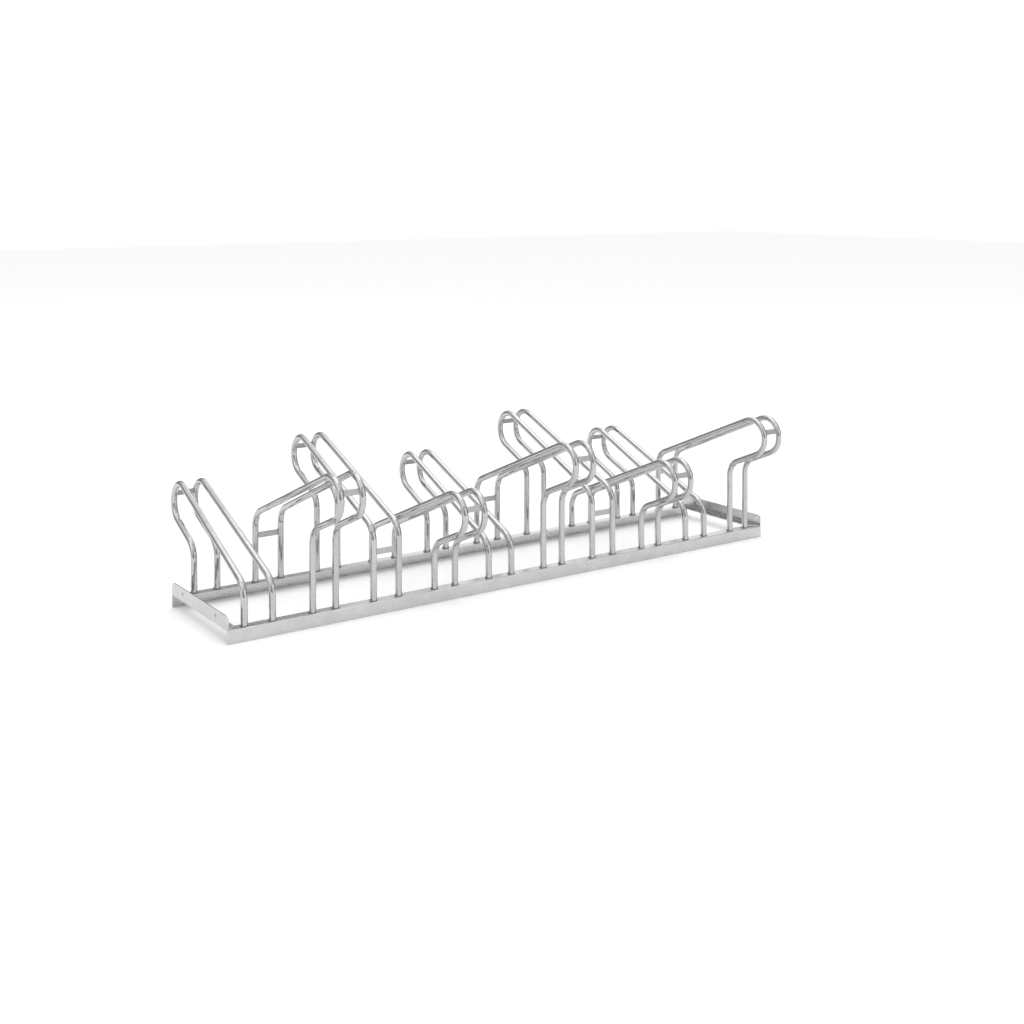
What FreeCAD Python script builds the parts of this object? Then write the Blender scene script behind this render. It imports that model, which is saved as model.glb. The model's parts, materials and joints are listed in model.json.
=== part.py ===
import FreeCAD, Part
import math
import os
import Sketcher
from FreeCAD import Placement, Rotation, Vector
from Sketcher import Constraint

# Floor rack for ten bicycles, all of galvanised steel. Two angle rails lie on the floor,
# joined by two end bars, and carry ten stands. A stand is a pair of bent tubes, the
# hoops, with the wheel slot between them. Its head leans out over the rear or the front
# rail in turn, and the wheel rolls in from the other side, the mouth.
# Millimetres. X runs along the rails, Y from front to rear, Z up from the floor. The
# origin is on the floor below the middle of the base frame.

DRIVING = {
    "stand_pitch": 175,         # from one stand to the next
    "end_margin": 85,           # from an end of the rack to the nearest stand
    "frame_depth": 352,         # over the outer faces of the two rails
    "rail_height": 33,          # standing leg of a rail, with its foot on the floor
    "lying_width": 30,          # lying leg of a rail or an end bar
    "plate": 3,                 # thickness of the angles
    "fold_inside": 1,           # inside radius of an angle's fold
    "bar_top": 66,              # height of an end bar's upper edge
    "bar_corner": 12,           # rounding at the two ends of that edge
    "tube_od": 17.2,
    "tube_bore": 13.2,
    "tube_end": 26,             # height of a tube's open lower end
    "foot_hole": 17.7,          # hole in a rail that a tube goes through
    "foot_inset": 14,           # from a rail's outer face to the tube's axis
    "head_spacing": 63,         # between the two tube axes at the feet below the head
    "mouth_spacing": 73,        # between the two tube axes at the feet of the mouth
    "slope": 22.5,              # degrees, of a hoop's top run and of the arm below it
    "bend_radius": 52,          # of the tube's axis, the same at the neck, bow and knee
    "bow_reach": 92,            # from the leg below the head out to the bow's centre
    "high_knee": 213,           # height where the top run meets the mouth leg
    "low_knee": 126.5,
    "strip_width": 15,
    "strip_plate": 3,
    "brace_height": 155,        # middle of the strip between the mouth legs
    "bolt_hole": 11,            # in the end bars, for bolting racks into a row
    "bolt_spacing": 208,
    "bolt_height": 50.5,
    "anchor_hole": 9,           # in the end bars, for a screw into the floor
    "hang_hole": 6,             # for the hook that holds the rack in the zinc bath
    "hang_inset": 15,
    "hang_height": 55,
    "weld_leg": 2.5,            # fillet weld round a tube's foot
    "weld_crest": 0.5,          # what is left of that weld at its top
    "bead_half_width": 2.6,     # weld along a mitre
    "bead_height": 1.2,
}

# Head side and height of each stand, from the left end
STANDS = [
    ("rear", "low"), ("front", "high"), ("rear", "high"), ("front", "low"), ("rear", "low"),
    ("front", "high"), ("rear", "high"), ("front", "low"), ("rear", "low"), ("front", "high"),
]
SIDES = {"front": -1, "rear": 1}
HALVES = {"left": -1, "right": 1}

# Distances worked out from the driving ones, as expressions
RACK_LENGTH = f"({len(STANDS) - 1}*dims.stand_pitch + 2*dims.end_margin)"
RAIL_END = f"({RACK_LENGTH}/2)"
RAIL_FACE = "(dims.frame_depth/2)"
FOLD_OUTSIDE = "(dims.fold_inside + dims.plate)"
FOOT_LINE = "(dims.frame_depth/2 - dims.foot_inset)"
HALF_SPLAY = "((dims.mouth_spacing - dims.head_spacing)/2)"
HOOP_SPAN = f"sqrt(4*{FOOT_LINE}^2 + {HALF_SPLAY}^2)"
SLOPE = "(dims.slope*1deg)"
TIP_REACH = f"(dims.bow_reach + dims.bend_radius*cos({SLOPE}))"

X_AXIS = Vector(1, 0, 0)
Y_AXIS = Vector(0, 1, 0)
Z_AXIS = Vector(0, 0, 1)
SAME = 0.001

doc = FreeCAD.newDocument("floor_bike_rack")
pieces = []


# ------------------------------------------------------------------ sheet and helpers

def make_sheet():
    """Put each driving dimension into a cell of its own and name the cell."""
    sheet = doc.addObject("Spreadsheet::Sheet", "dims")
    for row, (alias, value) in enumerate(DRIVING.items(), start=1):
        sheet.set(f"A{row}", alias)
        sheet.set(f"B{row}", str(value))
        sheet.setAlias(f"B{row}", alias)
    doc.recompute()
    return sheet


dims = make_sheet()
rack_length = (len(STANDS) - 1) * dims.stand_pitch + 2 * dims.end_margin
slope = math.radians(dims.slope)


def stand_x(number):
    """Where a stand's middle is along the rails, counting the stands from 1."""
    return f"({number - 1}*dims.stand_pitch + dims.end_margin - {RAIL_END})"


def add_body(name):
    body = doc.addObject("PartDesign::Body", name)
    body.Label = name
    pieces.append(body)
    return body


def add_sketch(body, name, plane, raised=None):
    """Attach a sketch to one of the body's own origin planes."""
    sketch = body.newObject("Sketcher::SketchObject", name)
    support = next(f for f in body.Origin.OriginFeatures if f.Role == plane)
    sketch.AttachmentSupport = [(support, "")]
    sketch.MapMode = "FlatFace"
    if raised:
        sketch.setExpression("AttachmentOffset.Base.z", raised)
    return sketch


def bind(sketch, name, expression, constraint):
    """Add a dimension to a sketch and drive it from the sheet."""
    sketch.renameConstraint(sketch.addConstraint(constraint), name)
    sketch.setExpression(f"Constraints.{name}", expression)


def bind_point(sketch, name, geometry, end, place, expressions):
    """Fix a point of a sketch at two distances from the sketch's origin."""
    for kind, value, expression in zip(("DistanceX", "DistanceY"), place, expressions):
        ends = (-1, 1, geometry, end) if value > 0 else (geometry, end, -1, 1)
        bind(sketch, f"{name}_{kind[-1].lower()}", expression, Constraint(kind, *ends, abs(value)))


def draw_outline(sketch, points):
    """Draw a closed outline of straight lines, upright and level ones held so."""
    corners = [Vector(x, y, 0) for x, y in points]
    lines = []
    for start, stop in zip(corners, corners[1:] + corners[:1]):
        line = sketch.addGeometry(Part.LineSegment(start, stop), False)
        lines.append(line)
        if abs(start.x - stop.x) < SAME:
            sketch.addConstraint(Constraint("Vertical", line))
        elif abs(start.y - stop.y) < SAME:
            sketch.addConstraint(Constraint("Horizontal", line))
    for line, following in zip(lines, lines[1:] + lines[:1]):
        sketch.addConstraint(Constraint("Coincident", line, 2, following, 1))
    return lines


def draw_circle(sketch, name, place, expressions, diameter):
    """Draw a circle whose diameter is a cell of the sheet."""
    centre = Vector(place[0], place[1], 0)
    radius = getattr(dims, diameter) / 2
    circle = sketch.addGeometry(Part.Circle(centre, Z_AXIS, radius), False)
    for axis, value, expression in zip("xy", place, expressions):
        if expression is None:
            sketch.addConstraint(Constraint("PointOnObject", circle, 3, -2 if axis == "x" else -1))
            continue
        kind = f"Distance{axis.upper()}"
        ends = (-1, 1, circle, 3) if value > 0 else (circle, 3, -1, 1)
        bind(sketch, f"{name}_{axis}", expression, Constraint(kind, *ends, abs(value)))
    bind(sketch, f"{name}_radius", f"dims.{diameter}/2", Constraint("Radius", circle, radius))


def add_pad(body, sketch, length):
    pad = body.newObject("PartDesign::Pad", "Pad")
    pad.Profile = sketch
    pad.Midplane = True
    pad.setExpression("Length", length)
    doc.recompute()
    return pad


def add_pocket(body, sketch, depth="dims.plate"):
    """Cut a sketch into the body, downwards from the sketch's plane."""
    before = body.Tip.Shape.Volume
    pocket = body.newObject("PartDesign::Pocket", "Pocket")
    pocket.Profile = sketch
    pocket.setExpression("Length", depth)
    doc.recompute()
    if not pocket.Shape.Volume < before:
        raise RuntimeError(f"{body.Label}: {sketch.Label} cuts nothing")


def add_fillet(body, along, place, radius):
    """Round the straight edges that run along an axis through the given places."""
    base = body.Tip
    names = []
    for number, edge in enumerate(base.Shape.Edges, start=1):
        middle = edge.CenterOfMass
        flat = middle - along * middle.dot(along)
        straight = isinstance(edge.Curve, Part.Line) and abs(edge.Curve.Direction.dot(along)) > 1 - SAME
        if straight and any((flat - spot).Length < SAME for spot in place):
            names.append(f"Edge{number}")
    fillet = body.newObject("PartDesign::Fillet", "Fillet")
    fillet.Base = (base, names)
    fillet.setExpression("Radius", radius)
    doc.recompute()


def set_place(thing, x="0", y="0", z="0"):
    for axis, expression in zip("xyz", (x, y, z)):
        thing.setExpression(f"Placement.Base.{axis}", expression)


def set_turn(thing, axis, angle):
    thing.Placement = Placement(Vector(), Rotation(axis, 1))
    thing.setExpression("Placement.Rotation.Angle", angle)


# ------------------------------------------------------------------ base frame

def draw_mitre(sketch, name, along, across, cuts_end):
    """Draw the triangle that a mitre takes off a lying leg at one corner of the frame.
    The signs along and across pick the corner. cuts_end takes the side next to the
    rack's end, otherwise the side next to the rail's outer face goes."""
    spare = dims.plate
    size = dims.lying_width + 2 * spare
    tip = Vector(along * (rack_length / 2 + spare), across * (dims.frame_depth / 2 + spare))
    far = tip - Vector(along * size, across * size)
    square = Vector(tip.x, far.y) if cuts_end else Vector(far.x, tip.y)
    lines = draw_outline(sketch, [(tip.x, tip.y), (square.x, square.y), (far.x, far.y)])
    sketch.addConstraint(Constraint("Equal", lines[0], lines[1]))
    length = Constraint("Distance", lines[0], size)
    bind(sketch, f"{name}_size", "dims.lying_width + 2*dims.plate", length)
    corner = (f"{RAIL_END} + dims.plate", f"{RAIL_FACE} + dims.plate")
    bind_point(sketch, name, lines[0], 1, (tip.x, tip.y), corner)


def bind_legs(sketch, standing, lying, ends, height, height_expression):
    """Size an angle's section: its two legs and the plate's thickness at both ends."""
    bind(sketch, "standing", height_expression, Constraint("Distance", standing, height))
    bind(sketch, "lying", "dims.lying_width", Constraint("Distance", lying, dims.lying_width))
    for name, line in zip(("standing_plate", "lying_plate"), ends):
        bind(sketch, name, "dims.plate", Constraint("Distance", line, dims.plate))


def make_rail(name, angle):
    """A rail: an angle with its standing leg on the floor, the lying leg on top pointing
    in, mitred at both ends, with a hole for each tube. It is drawn as the front rail,
    and the rear one is the same rail turned half way round."""
    body = add_body(name)
    face = -dims.frame_depth / 2
    top = dims.rail_height
    under = top - dims.plate
    section = add_sketch(body, "section", "YZ_Plane")
    lines = draw_outline(section, [
        (face, 0), (face + dims.plate, 0), (face + dims.plate, under),
        (face + dims.lying_width, under), (face + dims.lying_width, top), (face, top),
    ])
    bind_legs(section, lines[5], lines[4], (lines[0], lines[3]), top, "dims.rail_height")
    section.addConstraint(Constraint("PointOnObject", lines[0], 1, -1))
    bind(section, "face", RAIL_FACE, Constraint("DistanceX", lines[0], 1, -1, 1, -face))
    add_pad(body, section, RACK_LENGTH)
    add_fillet(body, X_AXIS, [Vector(0, face, top)], FOLD_OUTSIDE)
    add_fillet(body, X_AXIS, [Vector(0, face + dims.plate, under)], "dims.fold_inside")

    mitre = add_sketch(body, "mitre", "XY_Plane", "dims.rail_height")
    for tag, along in HALVES.items():
        draw_mitre(mitre, tag, along, -1, cuts_end=True)
    add_pocket(body, mitre)

    holes = add_sketch(body, "tube_holes", "XY_Plane", "dims.rail_height")
    for number, (head, _) in enumerate(STANDS, start=1):
        spacing = "head_spacing" if head == "front" else "mouth_spacing"
        middle = (number - 1) * dims.stand_pitch + dims.end_margin - rack_length / 2
        for tag, half in HALVES.items():
            x = middle + half * getattr(dims, spacing) / 2
            along = f"{stand_x(number)} + {half}*dims.{spacing}/2"
            if x < 0:
                along = f"-({along})"
            place = (x, face + dims.foot_inset)
            draw_circle(holes, f"{tag}_{number}", place, (along, FOOT_LINE), "foot_hole")
    add_pocket(body, holes)
    set_turn(body, Z_AXIS, angle)


def make_end_bar(name, angle, hung):
    """An end bar: an angle across both rails, its lying leg level with theirs and
    mitred to them, its standing leg rising at the rack's end, with two bolt holes there
    and an anchor hole in the lying leg. It is drawn as the left one."""
    body = add_body(name)
    end = -rack_length / 2
    face = dims.frame_depth / 2
    level = dims.rail_height
    under = level - dims.plate
    section = add_sketch(body, "section", "XZ_Plane")
    lines = draw_outline(section, [
        (end, under), (end + dims.lying_width, under), (end + dims.lying_width, level),
        (end + dims.plate, level), (end + dims.plate, dims.bar_top), (end, dims.bar_top),
    ])
    rise = "dims.bar_top - dims.rail_height + dims.plate"
    bind_legs(section, lines[5], lines[0], (lines[4], lines[1]), dims.bar_top - under, rise)
    heel = (RAIL_END, "dims.rail_height - dims.plate")
    bind_point(section, "heel", lines[0], 1, (end, under), heel)
    add_pad(body, section, "dims.frame_depth")
    add_fillet(body, Y_AXIS, [Vector(end, 0, under)], FOLD_OUTSIDE)
    add_fillet(body, Y_AXIS, [Vector(end + dims.plate, 0, level)], "dims.fold_inside")
    corners = [Vector(0, side * face, dims.bar_top) for side in SIDES.values()]
    add_fillet(body, X_AXIS, corners, "dims.bar_corner")

    mitre = add_sketch(body, "mitre", "XY_Plane", "dims.rail_height")
    for tag, across in SIDES.items():
        draw_mitre(mitre, tag, -1, across, cuts_end=False)
    add_pocket(body, mitre)

    bolts = add_sketch(body, "bolt_holes", "YZ_Plane", f"dims.plate - {RAIL_END}")
    for tag, side in SIDES.items():
        place = (side * dims.bolt_spacing / 2, dims.bolt_height)
        draw_circle(bolts, tag, place, ("dims.bolt_spacing/2", "dims.bolt_height"), "bolt_hole")
    if hung:
        place = (face - dims.hang_inset, dims.hang_height)
        spots = (f"{RAIL_FACE} - dims.hang_inset", "dims.hang_height")
        draw_circle(bolts, "hook", place, spots, "hang_hole")
    add_pocket(body, bolts)

    anchor = add_sketch(body, "anchor_hole", "XY_Plane", "dims.rail_height")
    spots = (f"{RAIL_END} - dims.lying_width/2", None)
    draw_circle(anchor, "anchor", (end + dims.lying_width / 2, 0), spots, "anchor_hole")
    add_pocket(body, anchor)
    set_turn(body, Z_AXIS, angle)


# ------------------------------------------------------------------ hoops

def polar(centre, radius, angle):
    return centre + Vector(radius * math.cos(angle), radius * math.sin(angle), 0)


def draw_arc(sketch, centre, radius, start, stop):
    circle = Part.Circle(centre, Z_AXIS, radius)
    return sketch.addGeometry(Part.ArcOfCircle(circle, start, stop), False)


def draw_line(sketch, start, stop):
    return sketch.addGeometry(Part.LineSegment(start, stop), False)


def draw_hoop_route(sketch, knee_cell):
    """Draw the line that a hoop's tube follows: up the leg below the head, round the
    neck, out along the arm, back over the bow, down the top run, round the knee and
    down the mouth leg. Sketch x starts at the leg below the head."""
    across = math.pi / 2 - slope
    radius = dims.bend_radius
    half_splay = (dims.mouth_spacing - dims.head_spacing) / 2
    span = math.hypot(dims.frame_depth - 2 * dims.foot_inset, half_splay)
    knee = getattr(dims, knee_cell)
    bow_height = knee + (span + dims.bow_reach) * math.tan(slope) - radius / math.cos(slope)
    bow = Vector(-dims.bow_reach, bow_height, 0)
    arm_tip = polar(bow, radius, across + math.pi)
    top_tip = polar(bow, radius, across)
    bend_reach = radius * math.tan(across / 2)
    neck = Vector(-radius, arm_tip.y + arm_tip.x * math.tan(slope) - bend_reach, 0)
    knee_centre = Vector(span - radius, knee - bend_reach, 0)

    foot = Vector(0, dims.tube_end, 0)
    mouth_foot = Vector(span, dims.tube_end, 0)
    leg = draw_line(sketch, foot, Vector(0, neck.y, 0))
    neck_arc = draw_arc(sketch, neck, radius, 0, across)
    arm = draw_line(sketch, polar(neck, radius, across), arm_tip)
    bow_arc = draw_arc(sketch, bow, radius, across, across + math.pi)
    top = draw_line(sketch, top_tip, polar(knee_centre, radius, across))
    knee_arc = draw_arc(sketch, knee_centre, radius, 0, across)
    mouth = draw_line(sketch, Vector(span, knee_centre.y, 0), mouth_foot)
    corner = sketch.addGeometry(Part.Point(Vector(span, knee, 0)), True)

    joints = [
        (leg, 2, neck_arc, 1), (neck_arc, 2, arm, 1), (arm, 2, bow_arc, 2),
        (bow_arc, 1, top, 1), (top, 2, knee_arc, 2), (knee_arc, 1, mouth, 1),
    ]
    for joint in joints:
        sketch.addConstraint(Constraint("Tangent", *joint))
    for line in (leg, mouth):
        sketch.addConstraint(Constraint("Vertical", line))
    for line in (mouth, top):
        sketch.addConstraint(Constraint("PointOnObject", corner, 1, line))
    sketch.addConstraint(Constraint("PointOnObject", leg, 1, -2))
    sketch.addConstraint(Constraint("Parallel", arm, top))

    bind(sketch, "foot", "dims.tube_end", Constraint("DistanceY", -1, 1, leg, 1, foot.y))
    bind(sketch, "mouth_foot", "dims.tube_end", Constraint("DistanceY", -1, 1, mouth, 2, foot.y))
    bind(sketch, "span", HOOP_SPAN, Constraint("DistanceX", leg, 1, mouth, 2, span))
    bind(sketch, "knee", f"dims.{knee_cell}", Constraint("DistanceY", -1, 1, corner, 1, knee))
    bind(sketch, "reach", "dims.bow_reach", Constraint("DistanceX", bow_arc, 3, -1, 1, -bow.x))
    bind(sketch, "slope", SLOPE, Constraint("Angle", top, 1, -1, 1, slope))
    for name, arc in (("neck", neck_arc), ("bow", bow_arc), ("knee_bend", knee_arc)):
        bind(sketch, name, "dims.bend_radius", Constraint("Radius", arc, radius))
    return sketch


def make_hoop(number, head, height, half_name):
    """One bent tube of a stand. It stands upright in a plane that turns a little about
    the leg below the head, because the slot is wider at the mouth."""
    half = HALVES[half_name]
    side = SIDES[head]
    body = add_body(f"hoop_{number:02d}_{half_name}")
    route = draw_hoop_route(add_sketch(body, "route", "XZ_Plane"), f"{height}_knee")
    section = add_sketch(body, "section", "XY_Plane", "dims.tube_end")
    for cell in ("tube_od", "tube_bore"):
        draw_circle(section, cell, (0, 0), (None, None), cell)
    tube = body.newObject("PartDesign::AdditivePipe", "Tube")
    tube.Profile = section
    tube.Spine = route
    turn = f"atan2({-side}*2*{FOOT_LINE}; {half}*{HALF_SPLAY})"
    set_turn(body, Z_AXIS, turn)
    set_place(body, f"{stand_x(number)} + {half}*dims.head_spacing/2", f"{side}*{FOOT_LINE}")
    doc.recompute()

    length = sum(edge.Length for edge in route.Shape.Edges)
    wall = math.pi / 4 * (dims.tube_od ** 2 - dims.tube_bore ** 2)
    if abs(tube.Shape.Volume / (length * wall) - 1) > SAME:
        raise RuntimeError(f"{body.Label}: the tube's volume doesn't match its length")


# ------------------------------------------------------------------ cross strips

def make_strip(name, length):
    """A flat strip across the slot: its length along X, its width along Z."""
    body = add_body(name)
    section = add_sketch(body, "section", "YZ_Plane")
    y = dims.strip_plate / 2
    z = dims.strip_width / 2
    lines = draw_outline(section, [(-y, -z), (y, -z), (y, z), (-y, z)])
    bind(section, "plate", "dims.strip_plate", Constraint("Distance", lines[0], 2 * y))
    bind(section, "width", "dims.strip_width", Constraint("Distance", lines[1], 2 * z))
    section.addConstraint(Constraint("Symmetric", lines[0], 1, lines[2], 1, -1, 1))
    add_pad(body, section, length)
    return body


def make_head_strip(number, head, height):
    """The strip at the tip of the bows, square to the slope, where the tyre stops."""
    side = SIDES[head]
    narrowing = f"{HALF_SPLAY}*{TIP_REACH}/{FOOT_LINE}"
    strip = make_strip(f"head_strip_{number:02d}", f"dims.head_spacing - {narrowing} - dims.tube_od")
    climb = f"({HOOP_SPAN} + dims.bow_reach)*tan({SLOPE})"
    bow_height = f"dims.{height}_knee + {climb} - dims.bend_radius/cos({SLOPE})"
    set_turn(strip, X_AXIS, f"{side}*{SLOPE}")
    tip_height = f"{bow_height} + dims.bend_radius*sin({SLOPE})"
    set_place(strip, stand_x(number), f"{side}*({FOOT_LINE} + {TIP_REACH})", tip_height)


def make_brace_strip(number, head):
    """The upright strip between the mouth legs of a high stand."""
    strip = make_strip(f"brace_strip_{number:02d}", "dims.mouth_spacing - dims.tube_od")
    set_place(strip, stand_x(number), f"{-SIDES[head]}*{FOOT_LINE}", "dims.brace_height")


# ------------------------------------------------------------------ welds

def add_solid(kind, name, **sizes):
    solid = doc.addObject(kind, name)
    for size, expression in sizes.items():
        solid.setExpression(size, expression)
    return solid


def add_group(name, members):
    group = doc.addObject("Part::Compound", name)
    group.Links = members
    return group


def make_foot_welds(side_name):
    """The fillet welds round the tubes on one rail, as a group of rings."""
    side = SIDES[side_name]
    cones = []
    cores = []
    for number, (head, _) in enumerate(STANDS, start=1):
        spacing = "head_spacing" if head == side_name else "mouth_spacing"
        for half in HALVES.values():
            cone = add_solid(
                "Part::Cone", "WeldCone", Radius1="dims.tube_od/2 + dims.weld_leg",
                Radius2="dims.tube_od/2 + dims.weld_crest", Height="dims.weld_leg")
            core = add_solid(
                "Part::Cylinder", "WeldCore", Radius="dims.tube_od/2", Height="dims.weld_leg")
            for solid in (cone, core):
                along = f"{stand_x(number)} + {half}*dims.{spacing}/2"
                set_place(solid, along, f"{side}*{FOOT_LINE}", "dims.rail_height")
            cones.append(cone)
            cores.append(core)
    welds = doc.addObject("Part::Cut", f"foot_welds_{side_name}")
    welds.Base = add_group("WeldCones", cones)
    welds.Tool = add_group("WeldCores", cores)
    welds.Label = f"foot_welds_{side_name}"
    pieces.append(welds)


def make_corner_welds():
    """The four beads along the mitres, as a group of low domed strips."""
    round_radius = "((dims.bead_half_width^2 + dims.bead_height^2)/(2*dims.bead_height))"
    start = f"(sqrt(2)*{FOLD_OUTSIDE} + dims.bead_half_width)"
    stop = "(sqrt(2)*dims.lying_width - dims.bead_half_width)"
    rods = []
    for along in HALVES.values():
        for across in SIDES.values():
            rod = add_solid(
                "Part::Cylinder", "BeadRod", Radius=round_radius, Height=f"{stop} - {start}")
            rod.Placement = Placement(Vector(), Rotation(Z_AXIS, Vector(-along, -across, 0)))
            set_place(
                rod, f"{along}*({RAIL_END} - {start}/sqrt(2))",
                f"{across}*({RAIL_FACE} - {start}/sqrt(2))",
                f"dims.rail_height + dims.bead_height - {round_radius}")
            rods.append(rod)
    above = add_solid(
        "Part::Box", "AboveRails", Length=RACK_LENGTH, Width="dims.frame_depth",
        Height="dims.bar_top - dims.rail_height")
    set_place(above, f"-{RAIL_END}", f"-{RAIL_FACE}", "dims.rail_height")
    welds = doc.addObject("Part::Common", "corner_welds")
    welds.Base = add_group("BeadRods", rods)
    welds.Tool = above
    welds.Label = "corner_welds"
    pieces.append(welds)


# ------------------------------------------------------------------ build and write

def check_and_write():
    """Stop at anything that failed, then write one file for each piece."""
    doc.recompute()
    for thing in doc.Objects:
        if "Invalid" in thing.State or "Error" in thing.State:
            raise RuntimeError(f"{thing.Name} failed: {thing.State}")
    for piece in pieces:
        if piece.Shape.isNull() or not piece.Shape.isValid():
            raise RuntimeError(f"{piece.Label} has no valid shape")
    os.makedirs("parts", exist_ok=True)
    for piece in pieces:
        piece.Shape.exportStep(f"parts/{piece.Label}.step")
        print(f"{piece.Label}: {len(piece.Shape.Solids)} solid(s), {piece.Shape.Volume:.0f} mm3")


make_rail("rail_front", "0deg")
make_rail("rail_rear", "180deg")
make_end_bar("end_bar_left", "0deg", hung=False)
make_end_bar("end_bar_right", "180deg", hung=True)
for stand, (head_side, stand_height) in enumerate(STANDS, start=1):
    for half_of_stand in HALVES:
        make_hoop(stand, head_side, stand_height, half_of_stand)
    make_head_strip(stand, head_side, stand_height)
    if stand_height == "high":
        make_brace_strip(stand, head_side)
for rail_side in SIDES:
    make_foot_welds(rail_side)
make_corner_welds()
check_and_write()
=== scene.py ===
import json
import math

import bpy
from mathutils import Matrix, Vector


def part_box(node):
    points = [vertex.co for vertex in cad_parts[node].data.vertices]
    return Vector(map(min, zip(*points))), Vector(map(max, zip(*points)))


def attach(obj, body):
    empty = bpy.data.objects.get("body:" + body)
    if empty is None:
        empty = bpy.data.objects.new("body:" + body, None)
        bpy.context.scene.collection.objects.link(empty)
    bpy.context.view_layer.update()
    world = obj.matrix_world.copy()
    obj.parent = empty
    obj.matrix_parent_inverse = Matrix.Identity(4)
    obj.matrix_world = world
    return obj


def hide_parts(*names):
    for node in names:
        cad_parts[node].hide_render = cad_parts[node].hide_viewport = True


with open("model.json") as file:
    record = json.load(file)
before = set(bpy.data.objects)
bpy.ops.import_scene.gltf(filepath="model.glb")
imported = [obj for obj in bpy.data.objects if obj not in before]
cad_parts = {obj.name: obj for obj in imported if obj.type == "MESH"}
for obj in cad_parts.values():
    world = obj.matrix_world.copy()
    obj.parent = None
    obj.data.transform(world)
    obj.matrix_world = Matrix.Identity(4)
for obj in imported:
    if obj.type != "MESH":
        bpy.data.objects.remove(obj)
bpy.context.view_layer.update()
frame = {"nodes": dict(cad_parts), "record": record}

# Floor rack for ten bicycles, all of galvanised steel: two angle rails, two end bars and
# ten stands. A stand is a pair of bent tubes with the wheel slot between them. Its head
# leans out over one rail, and the wheel rolls in from the other side, the mouth.
# Metres. X runs along the rails, Y from front to rear, Z up from the floor. The rails'
# faces and ends and the line of the feet are given by their distance from the middle.
STANDS = [
    ("rear", "low"), ("front", "high"), ("rear", "high"), ("front", "low"), ("rear", "low"),
    ("front", "high"), ("rear", "high"), ("front", "low"), ("rear", "low"), ("front", "high"),
]
SIDES = {"front": -1, "rear": 1}
STAND_PITCH = 0.175
FIRST_STAND = -0.7875
RAIL_FACE = 0.176
RAIL_END = 0.8725
RAIL_TOP = 0.033
LYING_WIDTH = 0.030
FOLD_OUTSIDE = 0.004
FOOT_LINE = 0.162
HEAD_SPACING = 0.063
MOUTH_SPACING = 0.073
TUBE_RADIUS = 0.0086
SLOPE = math.radians(22.5)
STRIP_WIDTH = 0.015
STRIP_PLATE = 0.003


# ------------------------------------------------------------------ node helpers

# A Mix node's sockets for colours, which share their names with those for numbers.
COLOUR_A = 6
COLOUR_B = 7
MIXED_COLOUR = 2


def add_node(tree, kind, **values):
    """Add a node. Settings are set by name, inputs by their name or number."""
    node = tree.nodes.new(kind)
    inputs = values.pop("inputs", {})
    for name, value in values.items():
        setattr(node, name, value)
    for name, value in inputs.items():
        socket = node.inputs[name]
        if isinstance(value, bpy.types.NodeSocket):
            tree.links.new(value, socket)
        else:
            socket.default_value = value
    return node


def calculate(tree, operation, *terms):
    """Add a Math node on some terms and give its result."""
    node = add_node(tree, "ShaderNodeMath", operation=operation, inputs=dict(enumerate(terms)))
    return node.outputs[0]


# ------------------------------------------------------------------ zinc finishes

# The pattern is a number from 0 to 1, mostly near the middle, so the grey and the
# roughness each change over a band of it. A fineness of 1 is that of the clouds.
GREY_BAND = (0.32, 0.68)
GLOSS_BAND = (0.30, 0.70)
CLOUD_DISTORTION = 0.4
RUN_STRETCH = 0.12
RUN_FINENESS = 2.2
WAVE_FINENESS = 0.8
SKIN_PER_METRE = 260
SKIN_SHARE = 0.03


def draw_pattern(tree, place, cloud_size, crystal_size, runs, crystals_shown):
    """Soft clouds, upright runs where the zinc drained, and crystals."""
    clouds = add_node(tree, "ShaderNodeTexNoise", inputs={
        "Vector": place, "Scale": 1 / cloud_size, "Detail": 3, "Distortion": CLOUD_DISTORTION})
    stretched = add_node(tree, "ShaderNodeMapping", inputs={
        "Vector": place, "Scale": (1, 1, RUN_STRETCH)})
    drained = add_node(tree, "ShaderNodeTexNoise", inputs={
        "Vector": stretched.outputs[0], "Scale": RUN_FINENESS / cloud_size, "Detail": 3})
    crystals = add_node(tree, "ShaderNodeTexVoronoi", inputs={
        "Vector": place, "Scale": 1 / crystal_size})
    crystal_grey = add_node(tree, "ShaderNodeSeparateColor", inputs={
        "Color": crystals.outputs["Color"]})
    mixed = add_node(tree, "ShaderNodeMix", inputs={
        "Factor": runs, "A": clouds.outputs[0], "B": drained.outputs[0]})
    return add_node(tree, "ShaderNodeMix", inputs={
        "Factor": crystals_shown, "A": mixed.outputs[0], "B": crystal_grey.outputs["Red"]}).outputs[0]


def raise_skin(tree, place, cloud_size, relief):
    """The coat's low waves, with a little fine grain on them."""
    waves = add_node(tree, "ShaderNodeTexNoise", inputs={
        "Vector": place, "Scale": WAVE_FINENESS / cloud_size, "Detail": 1})
    grain = add_node(tree, "ShaderNodeTexNoise", inputs={
        "Vector": place, "Scale": SKIN_PER_METRE, "Detail": 2})
    height = add_node(tree, "ShaderNodeMix", inputs={
        "Factor": SKIN_SHARE, "A": waves.outputs[0], "B": grain.outputs[0]})
    return add_node(tree, "ShaderNodeBump", inputs={
        "Strength": 1, "Distance": relief, "Height": height.outputs[0]}).outputs[0]


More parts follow.
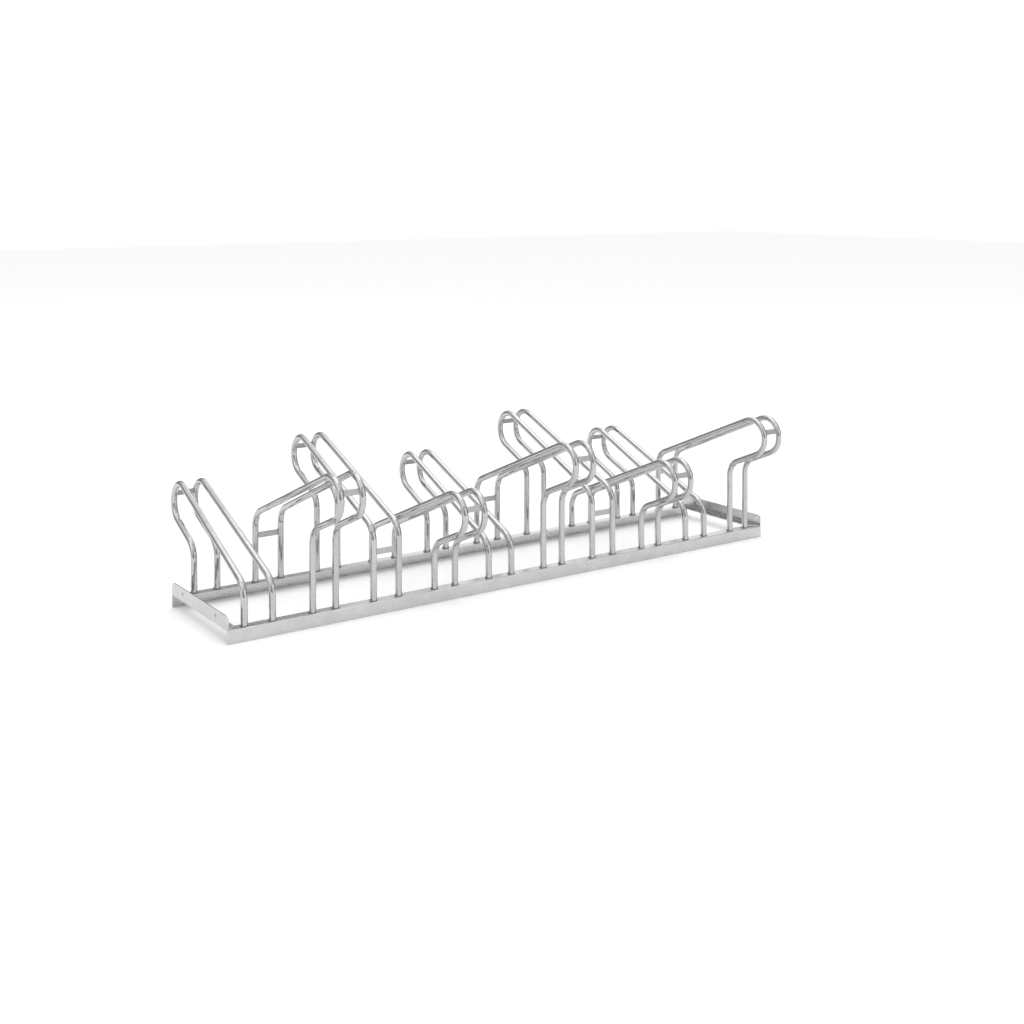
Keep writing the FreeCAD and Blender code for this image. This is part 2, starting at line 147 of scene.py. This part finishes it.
def make_zinc(name, dark, light, gloss, dull, cloud_size, crystal_size, runs, crystals_shown, relief):
    """Hot-dipped zinc. Dark and light are its greys, gloss and dull its lowest and highest
    roughness. Runs and crystals_shown are shares of the pattern, and the sizes and the
    relief are in metres."""
    material = bpy.data.materials.new(name)
    material.use_nodes = True
    tree = material.node_tree
    shader = tree.nodes["Principled BSDF"]
    shader.inputs["Metallic"].default_value = 1
    place = add_node(tree, "ShaderNodeTexCoord").outputs["Object"]
    pattern = draw_pattern(tree, place, cloud_size, crystal_size, runs, crystals_shown)

    tone = add_node(tree, "ShaderNodeMapRange", inputs={
        "Value": pattern, "From Min": GREY_BAND[0], "From Max": GREY_BAND[1]})
    colour = add_node(tree, "ShaderNodeMix", data_type="RGBA", inputs={
        "Factor": tone.outputs[0],
        COLOUR_A: (dark, dark, dark, 1), COLOUR_B: (light, light, light, 1)})
    tree.links.new(colour.outputs[MIXED_COLOUR], shader.inputs["Base Color"])

    sheen = add_node(tree, "ShaderNodeMapRange", inputs={
        "Value": pattern, "From Min": GLOSS_BAND[0], "From Max": GLOSS_BAND[1],
        "To Min": gloss, "To Max": dull})
    tree.links.new(sheen.outputs[0], shader.inputs["Roughness"])
    tree.links.new(raise_skin(tree, place, cloud_size, relief), shader.inputs["Normal"])
    return material


FINISHES = {
    "tube_zinc": make_zinc(
        "tube_zinc", dark=0.455, light=0.535, gloss=0.03, dull=0.08, cloud_size=0.030,
        crystal_size=0.006, runs=0.45, crystals_shown=0.22, relief=0.00013),
    "rail_zinc": make_zinc(
        "rail_zinc", dark=0.535, light=0.605, gloss=0.22, dull=0.32, cloud_size=0.040,
        crystal_size=0.008, runs=0.15, crystals_shown=0.07, relief=0.00010),
    "strip_zinc": make_zinc(
        "strip_zinc", dark=0.40, light=0.48, gloss=0.32, dull=0.46, cloud_size=0.016,
        crystal_size=0.005, runs=0.10, crystals_shown=0.12, relief=0.00012),
    # The welds' dark grey is partly the darker weld metal and partly painted shade of the crevice
    # where each tube meets its rail.
    "weld_zinc": make_zinc(
        "weld_zinc", dark=0.15, light=0.30, gloss=0.26, dull=0.45, cloud_size=0.006,
        crystal_size=0.003, runs=0.10, crystals_shown=0.12, relief=0.00008),
    # The mitre seams' grey is a little lighter than the rails'. This is partly the ground weld metal
    # and partly a painted highlight where the raised bead catches the light.
    "seam_zinc": make_zinc(
        "seam_zinc", dark=0.56, light=0.66, gloss=0.38, dull=0.55, cloud_size=0.006,
        crystal_size=0.003, runs=0.10, crystals_shown=0.12, relief=0.00008),
}


def dress_steel():
    """Give each solid of the frame the zinc of its own slot."""
    for piece in frame["record"]["subparts"]:
        solid = frame["nodes"][piece["node"]]
        solid.data.materials.clear()
        solid.data.materials.append(FINISHES[piece["material_slot"]])


# ------------------------------------------------------------------ welds

# How finely a bead is cut, and how high its lumps are beside its ripples.
BEAD_SIDES = 10
RINGS_PER_RIPPLE = 4.0
LUMPS_PER_METRE = 260.0
LUMP_HEIGHT = 3.0

# An open bead keeps its width until close to its ends. More steepness keeps it longer,
# and more fullness leaves blunter tips.
END_STEEPNESS = 4.0
END_FULLNESS = 0.02

# Each kind of bead: its radius, its height as a share of its width, and how long and how
# deep its ripples are.
FOOT_BEAD = {"radius": 0.0019, "flatness": 1.0, "pitch": 0.0014, "depth": 0.00012}
CORNER_BEAD = {"radius": 0.0026, "flatness": 0.60, "pitch": 0.0018, "depth": 0.00012}
STRIP_BEAD = {"radius": 0.0014, "flatness": 1.0, "pitch": 0.0012, "depth": 0.00010}
CORNER_SEED = 3
STRIP_SEED = 7

# Where the middle of a bead lies: just off a tube's skin, between the fold and the inner
# edge of a rail along a mitre, and short of a strip's end and corners.
RING_POINTS = 72
FOOT_GAP = 0.0002
SEAM_FROM_FOLD = 0.0016
SEAM_FROM_EDGE = 0.0012
STRIP_END_INSET = 0.0003
STRIP_CORNER_INSET = 0.0012


def taper_ends(tree, along):
    """The share of its full width that a bead has, which falls only close to its two ends.
    A bead that runs round keeps its width."""
    from_middle = calculate(tree, "MULTIPLY_ADD", along, 2.0, -1.0)
    squared = calculate(tree, "MULTIPLY", from_middle, from_middle)
    steep = calculate(tree, "POWER", squared, END_STEEPNESS)
    rest = calculate(tree, "SUBTRACT", 1 + END_FULLNESS, steep)
    taper = calculate(tree, "SQRT", rest)
    closed = add_node(tree, "GeometryNodeInputSplineCyclic").outputs[0]
    return add_node(tree, "GeometryNodeSwitch", input_type="FLOAT", inputs={
        "Switch": closed, "False": taper, "True": 1.0}).outputs[0]


def raise_ripples(tree, run, turn, given):
    """How far a point of a bead stands out. The ripples lag behind on one side of the bead,
    and uneven lumps go over them."""
    turned = calculate(tree, "MULTIPLY", turn, math.tau)
    lag = calculate(tree, "COSINE", turned)
    count = calculate(tree, "DIVIDE", run, given["Ripple Pitch"])
    phase = calculate(tree, "MULTIPLY_ADD", count, math.tau, lag)
    ripple = calculate(tree, "SINE", phase)
    uneven = add_node(tree, "ShaderNodeTexNoise", noise_dimensions="4D", inputs={
        "W": given["Seed"], "Scale": LUMPS_PER_METRE, "Detail": 1.0})
    lumps = calculate(tree, "MULTIPLY_ADD", uneven.outputs[0], LUMP_HEIGHT, -LUMP_HEIGHT / 2)
    swell = calculate(tree, "ADD", ripple, lumps)
    return calculate(tree, "MULTIPLY", swell, given["Ripple Depth"])


def make_weld_tree():
    """Lay a rippled weld bead along each line of a mesh. An open bead tapers at its two
    ends, a closed one runs round."""
    tree = bpy.data.node_groups.new("weld_bead", "GeometryNodeTree")
    tree.interface.new_socket("Lines", in_out="INPUT", socket_type="NodeSocketGeometry")
    for name in ("Bead Radius", "Flatness", "Ripple Pitch", "Ripple Depth", "Seed"):
        tree.interface.new_socket(name, in_out="INPUT", socket_type="NodeSocketFloat")
    tree.interface.new_socket("Finish", in_out="INPUT", socket_type="NodeSocketMaterial")
    tree.interface.new_socket("Beads", in_out="OUTPUT", socket_type="NodeSocketGeometry")
    given = add_node(tree, "NodeGroupInput").outputs

    step = calculate(tree, "DIVIDE", given["Ripple Pitch"], RINGS_PER_RIPPLE)
    lines = add_node(tree, "GeometryNodeMeshToCurve", inputs={"Mesh": given["Lines"]})
    path = add_node(tree, "GeometryNodeResampleCurve", mode="LENGTH", inputs={
        "Curve": lines.outputs[0], "Length": step})
    along = add_node(tree, "GeometryNodeSplineParameter")
    marked = add_node(tree, "GeometryNodeCaptureAttribute", inputs={"Geometry": path.outputs[0]})
    marked.capture_items.new("FLOAT", "Along")
    tree.links.new(along.outputs["Length"], marked.inputs["Along"])
    shaped = add_node(tree, "GeometryNodeSetCurveRadius", inputs={
        "Curve": marked.outputs["Geometry"], "Radius": taper_ends(tree, along.outputs["Factor"])})

    circle = add_node(tree, "GeometryNodeCurvePrimitiveCircle", inputs={
        "Resolution": BEAD_SIDES, "Radius": given["Bead Radius"]})
    squash = add_node(tree, "ShaderNodeCombineXYZ", inputs={
        "X": 1.0, "Y": given["Flatness"], "Z": 1.0})
    section = add_node(tree, "GeometryNodeTransform", inputs={
        "Geometry": circle.outputs[0], "Scale": squash.outputs[0]})
    rounded = add_node(tree, "GeometryNodeCaptureAttribute", inputs={"Geometry": section.outputs[0]})
    rounded.capture_items.new("FLOAT", "Round")
    tree.links.new(along.outputs["Factor"], rounded.inputs["Round"])
    bead = add_node(tree, "GeometryNodeCurveToMesh", inputs={
        "Curve": shaped.outputs[0], "Profile Curve": rounded.outputs["Geometry"],
        "Fill Caps": True})

    lift = raise_ripples(tree, marked.outputs["Along"], rounded.outputs["Round"], given)
    outward = add_node(tree, "GeometryNodeInputNormal").outputs[0]
    offset = add_node(tree, "ShaderNodeVectorMath", operation="SCALE", inputs={
        "Vector": outward, "Scale": lift})
    rippled = add_node(tree, "GeometryNodeSetPosition", inputs={
        "Geometry": bead.outputs[0], "Offset": offset.outputs[0]})
    smooth = add_node(tree, "GeometryNodeSetShadeSmooth", inputs={"Geometry": rippled.outputs[0]})
    real = add_node(tree, "GeometryNodeRealizeInstances", inputs={"Geometry": smooth.outputs[0]})
    coated = add_node(tree, "GeometryNodeSetMaterial", inputs={
        "Geometry": real.outputs[0], "Material": given["Finish"]})
    add_node(tree, "NodeGroupOutput", inputs={"Beads": coated.outputs[0]})
    return tree


weld_tree = make_weld_tree()


def lay_welds(name, finish, lines, seed, radius, flatness, pitch, depth):
    """Make one piece of the beads along some lines. Each line is a list of its points and
    whether it closes."""
    points = []
    edges = []
    for line, closed in lines:
        first = len(points)
        points += line
        edges += [(n, n + 1) for n in range(first, len(points) - 1)]
        if closed:
            edges.append((len(points) - 1, first))
    mesh = bpy.data.meshes.new(name)
    mesh.from_pydata(points, edges, [])
    piece = bpy.data.objects.new(name, mesh)
    bpy.context.collection.objects.link(piece)
    modifier = piece.modifiers.new("weld_bead", "NODES")
    modifier.node_group = weld_tree
    values = {"Bead Radius": radius, "Flatness": flatness, "Ripple Pitch": pitch,
              "Ripple Depth": depth, "Seed": seed, "Finish": FINISHES[finish]}
    for socket in weld_tree.interface.items_tree:
        if socket.in_out == "INPUT" and socket.name in values:
            modifier[socket.identifier] = values[socket.name]
    made = piece.evaluated_get(bpy.context.evaluated_depsgraph_get())
    beads = bpy.data.meshes.new_from_object(made)
    piece.modifiers.clear()
    piece.data = beads
    beads.name = name
    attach(piece, "root")
    return piece


def stand_x(number):
    return FIRST_STAND + (number - 1) * STAND_PITCH


def ring(centre, radius):
    """Points of a level circle that starts at the back."""
    turns = [math.pi / 2 + math.tau * n / RING_POINTS for n in range(RING_POINTS)]
    return [centre + Vector((radius * math.cos(a), radius * math.sin(a), 0)) for a in turns]


def weld_feet(side_name):
    """The fillet welds round the twenty tubes on one rail. Their dark grey is partly the weld's own
    colour and partly painted shade of the crevice where each tube meets the rail.
    """
    side = SIDES[side_name]
    lines = []
    for number, (head, _) in enumerate(STANDS, start=1):
        spacing = HEAD_SPACING if head == side_name else MOUTH_SPACING
        for half in (-1, 1):
            foot = Vector((stand_x(number) + half * spacing / 2, side * FOOT_LINE, RAIL_TOP))
            lines.append((ring(foot, TUBE_RADIUS + FOOT_GAP), True))
    piece = lay_welds(f"foot_beads_{side_name}", "weld_zinc", lines, seed=side, **FOOT_BEAD)
    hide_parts(f"foot_welds_{side_name}")


def weld_corners():
    """The beads along the four mitres, ground low. Their light grey is partly the ground weld metal
    and partly a painted highlight where the raised bead catches the light.
    """
    reach = (FOLD_OUTSIDE + SEAM_FROM_FOLD, LYING_WIDTH - SEAM_FROM_EDGE)
    lines = []
    for along in (-1, 1):
        for across in (-1, 1):
            line = [Vector((along * (RAIL_END - inset), across * (RAIL_FACE - inset), RAIL_TOP))
                    for inset in reach]
            lines.append((line, False))
    piece = lay_welds("corner_beads", "seam_zinc", lines, seed=CORNER_SEED, **CORNER_BEAD)
    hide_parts("corner_welds")


def strip_seams(strip, lean):
    """The short lines at both ends of a strip, one on each of its two faces."""
    low, high = (Vector(corner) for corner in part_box(strip))
    middle = (low + high) / 2
    up = Vector((0, -math.sin(lean), math.cos(lean)))
    out = Vector((0, math.cos(lean), math.sin(lean)))
    reach = up * (STRIP_WIDTH / 2 - STRIP_CORNER_INSET)
    seams = []
    for half in (-1, 1):
        end = Vector((half * ((high.x - low.x) / 2 - STRIP_END_INSET), 0, 0))
        for face in (-1, 1):
            spot = middle + end + out * face * STRIP_PLATE / 2
            seams.append(([spot - reach, spot + reach], False))
    return seams


def weld_strips():
    """The beads of every head strip, and of the brace strips on the high stands."""
    lines = []
    for number, (head, height) in enumerate(STANDS, start=1):
        lines += strip_seams(f"head_strip_{number:02d}", SIDES[head] * SLOPE)
        if height == "high":
            lines += strip_seams(f"brace_strip_{number:02d}", 0)
    lay_welds("strip_beads", "strip_zinc", lines, seed=STRIP_SEED, **STRIP_BEAD)


# ------------------------------------------------------------------ floor and light

FLOOR_REACH = 20
FLOOR_PAINT = (0.96, 0.94, 0.925)
FLOOR_GLOW = 0.08
DAYLIGHT = (0.96, 0.983, 1)

# The dome's brightness low and high up. Sight is the height of a direction, 0 when level
# and 1 straight up.
LOW_GLOW = 0.38
HIGH_GLOW = 1.26
LOW_SIGHT = 0.24
HIGH_SIGHT = 0.92
BACKDROP_GLOW = 1.1

# Bearing runs from the rear towards the right, height up from the floor. Wide and tall
# are the angles that a box fills, seen from the rack. All are in degrees.
SOFT_BOXES = {
    "box_rear_right": {"bearing": 44, "height": 25, "wide": 36, "tall": 46, "brightness": 0.78},
    "box_above": {"bearing": 0, "height": 84, "wide": 38, "tall": 38, "brightness": 0.95},
    "box_left": {"bearing": 262, "height": 26, "wide": 48, "tall": 46, "brightness": 0.60},
    "box_front": {"bearing": 163, "height": 16, "wide": 62, "tall": 38, "brightness": 0.76},
}
BOX_DISTANCE = 8.0


def lay_floor():
    """A dull white floor with a faint glow of its own, which keeps it white."""
    corners = [(x * FLOOR_REACH, y * FLOOR_REACH, 0) for x, y in ((-1, -1), (1, -1), (1, 1), (-1, 1))]
    mesh = bpy.data.meshes.new("floor")
    mesh.from_pydata(corners, [], [(0, 1, 2, 3)])
    floor = bpy.data.objects.new("floor", mesh)
    bpy.context.collection.objects.link(floor)
    paint = bpy.data.materials.new("floor_white")
    paint.use_nodes = True
    shader = paint.node_tree.nodes["Principled BSDF"]
    shader.inputs["Base Color"].default_value = (*FLOOR_PAINT, 1)
    shader.inputs["Emission Color"].default_value = (1, 1, 1, 1)
    shader.inputs["Emission Strength"].default_value = FLOOR_GLOW
    shader.inputs["Roughness"].default_value = 0.9
    shader.inputs["Specular IOR Level"].default_value = 0
    mesh.materials.append(paint)


def light_dome():
    """The studio round the rack: dim at the horizon, brighter overhead, and plain white
    where the picture's background shows it."""
    world = bpy.data.worlds.new("studio")
    bpy.context.scene.world = world
    world.use_nodes = True
    tree = world.node_tree
    tree.nodes.clear()
    sight = add_node(tree, "ShaderNodeTexCoord").outputs["Generated"]
    height = add_node(tree, "ShaderNodeSeparateXYZ", inputs={"Vector": sight}).outputs["Z"]
    rise = add_node(tree, "ShaderNodeMapRange", interpolation_type="SMOOTHSTEP", inputs={
        "Value": height, "From Min": LOW_SIGHT, "From Max": HIGH_SIGHT,
        "To Min": LOW_GLOW, "To Max": HIGH_GLOW})
    direct = add_node(tree, "ShaderNodeLightPath").outputs["Is Camera Ray"]
    shown = add_node(tree, "ShaderNodeMix", inputs={
        "Factor": direct, "A": rise.outputs[0], "B": BACKDROP_GLOW})
    glow = add_node(tree, "ShaderNodeBackground", inputs={
        "Color": (*DAYLIGHT, 1), "Strength": shown.outputs[0]})
    add_node(tree, "ShaderNodeOutputWorld", inputs={"Surface": glow.outputs[0]})


def hang_soft_box(name, bearing, height, wide, tall, brightness):
    bearing, height = math.radians(bearing), math.radians(height)
    flat = math.cos(height)
    sight = Vector((math.sin(bearing) * flat, math.cos(bearing) * flat, math.sin(height)))
    size = [2 * BOX_DISTANCE * math.tan(math.radians(side) / 2) for side in (wide, tall)]
    light = bpy.data.lights.new(name, "AREA")
    light.shape = "RECTANGLE"
    light.size, light.size_y = size
    light.energy = brightness * math.pi * size[0] * size[1]
    light.color = DAYLIGHT
    box = bpy.data.objects.new(name, light)
    box.location = sight * BOX_DISTANCE
    box.rotation_euler = sight.to_track_quat("Z", "Y").to_euler()
    box.visible_camera = False
    bpy.context.collection.objects.link(box)


# ------------------------------------------------------------------ camera

PICTURE = 1024
FOCAL_PIXELS = 1380.907
HORIZON_ROW = 183.365
CAMERA_PLACE = Vector((-2.1782, -3.2185, 1.0848))
CAMERA_YAW = math.radians(34.87)
SENSOR = 36.0
FARTHEST_SIGHT = 100


def set_camera():
    """The photograph's camera: level, its picture shifted down."""
    data = bpy.data.cameras.new("photo_camera")
    data.sensor_width = SENSOR
    data.lens = FOCAL_PIXELS / PICTURE * SENSOR
    data.shift_y = (HORIZON_ROW - PICTURE / 2) / PICTURE
    data.clip_end = FARTHEST_SIGHT
    camera = bpy.data.objects.new("photo_camera", data)
    camera.location = CAMERA_PLACE
    camera.rotation_euler = (math.pi / 2, 0, -CAMERA_YAW)
    bpy.context.collection.objects.link(camera)
    bpy.context.scene.camera = camera


dress_steel()
for rail in SIDES:
    weld_feet(rail)
weld_corners()
weld_strips()
lay_floor()
light_dome()
for box_name, settings in SOFT_BOXES.items():
    hang_soft_box(box_name, **settings)
set_camera()
bpy.context.scene.view_settings.view_transform = "Standard"
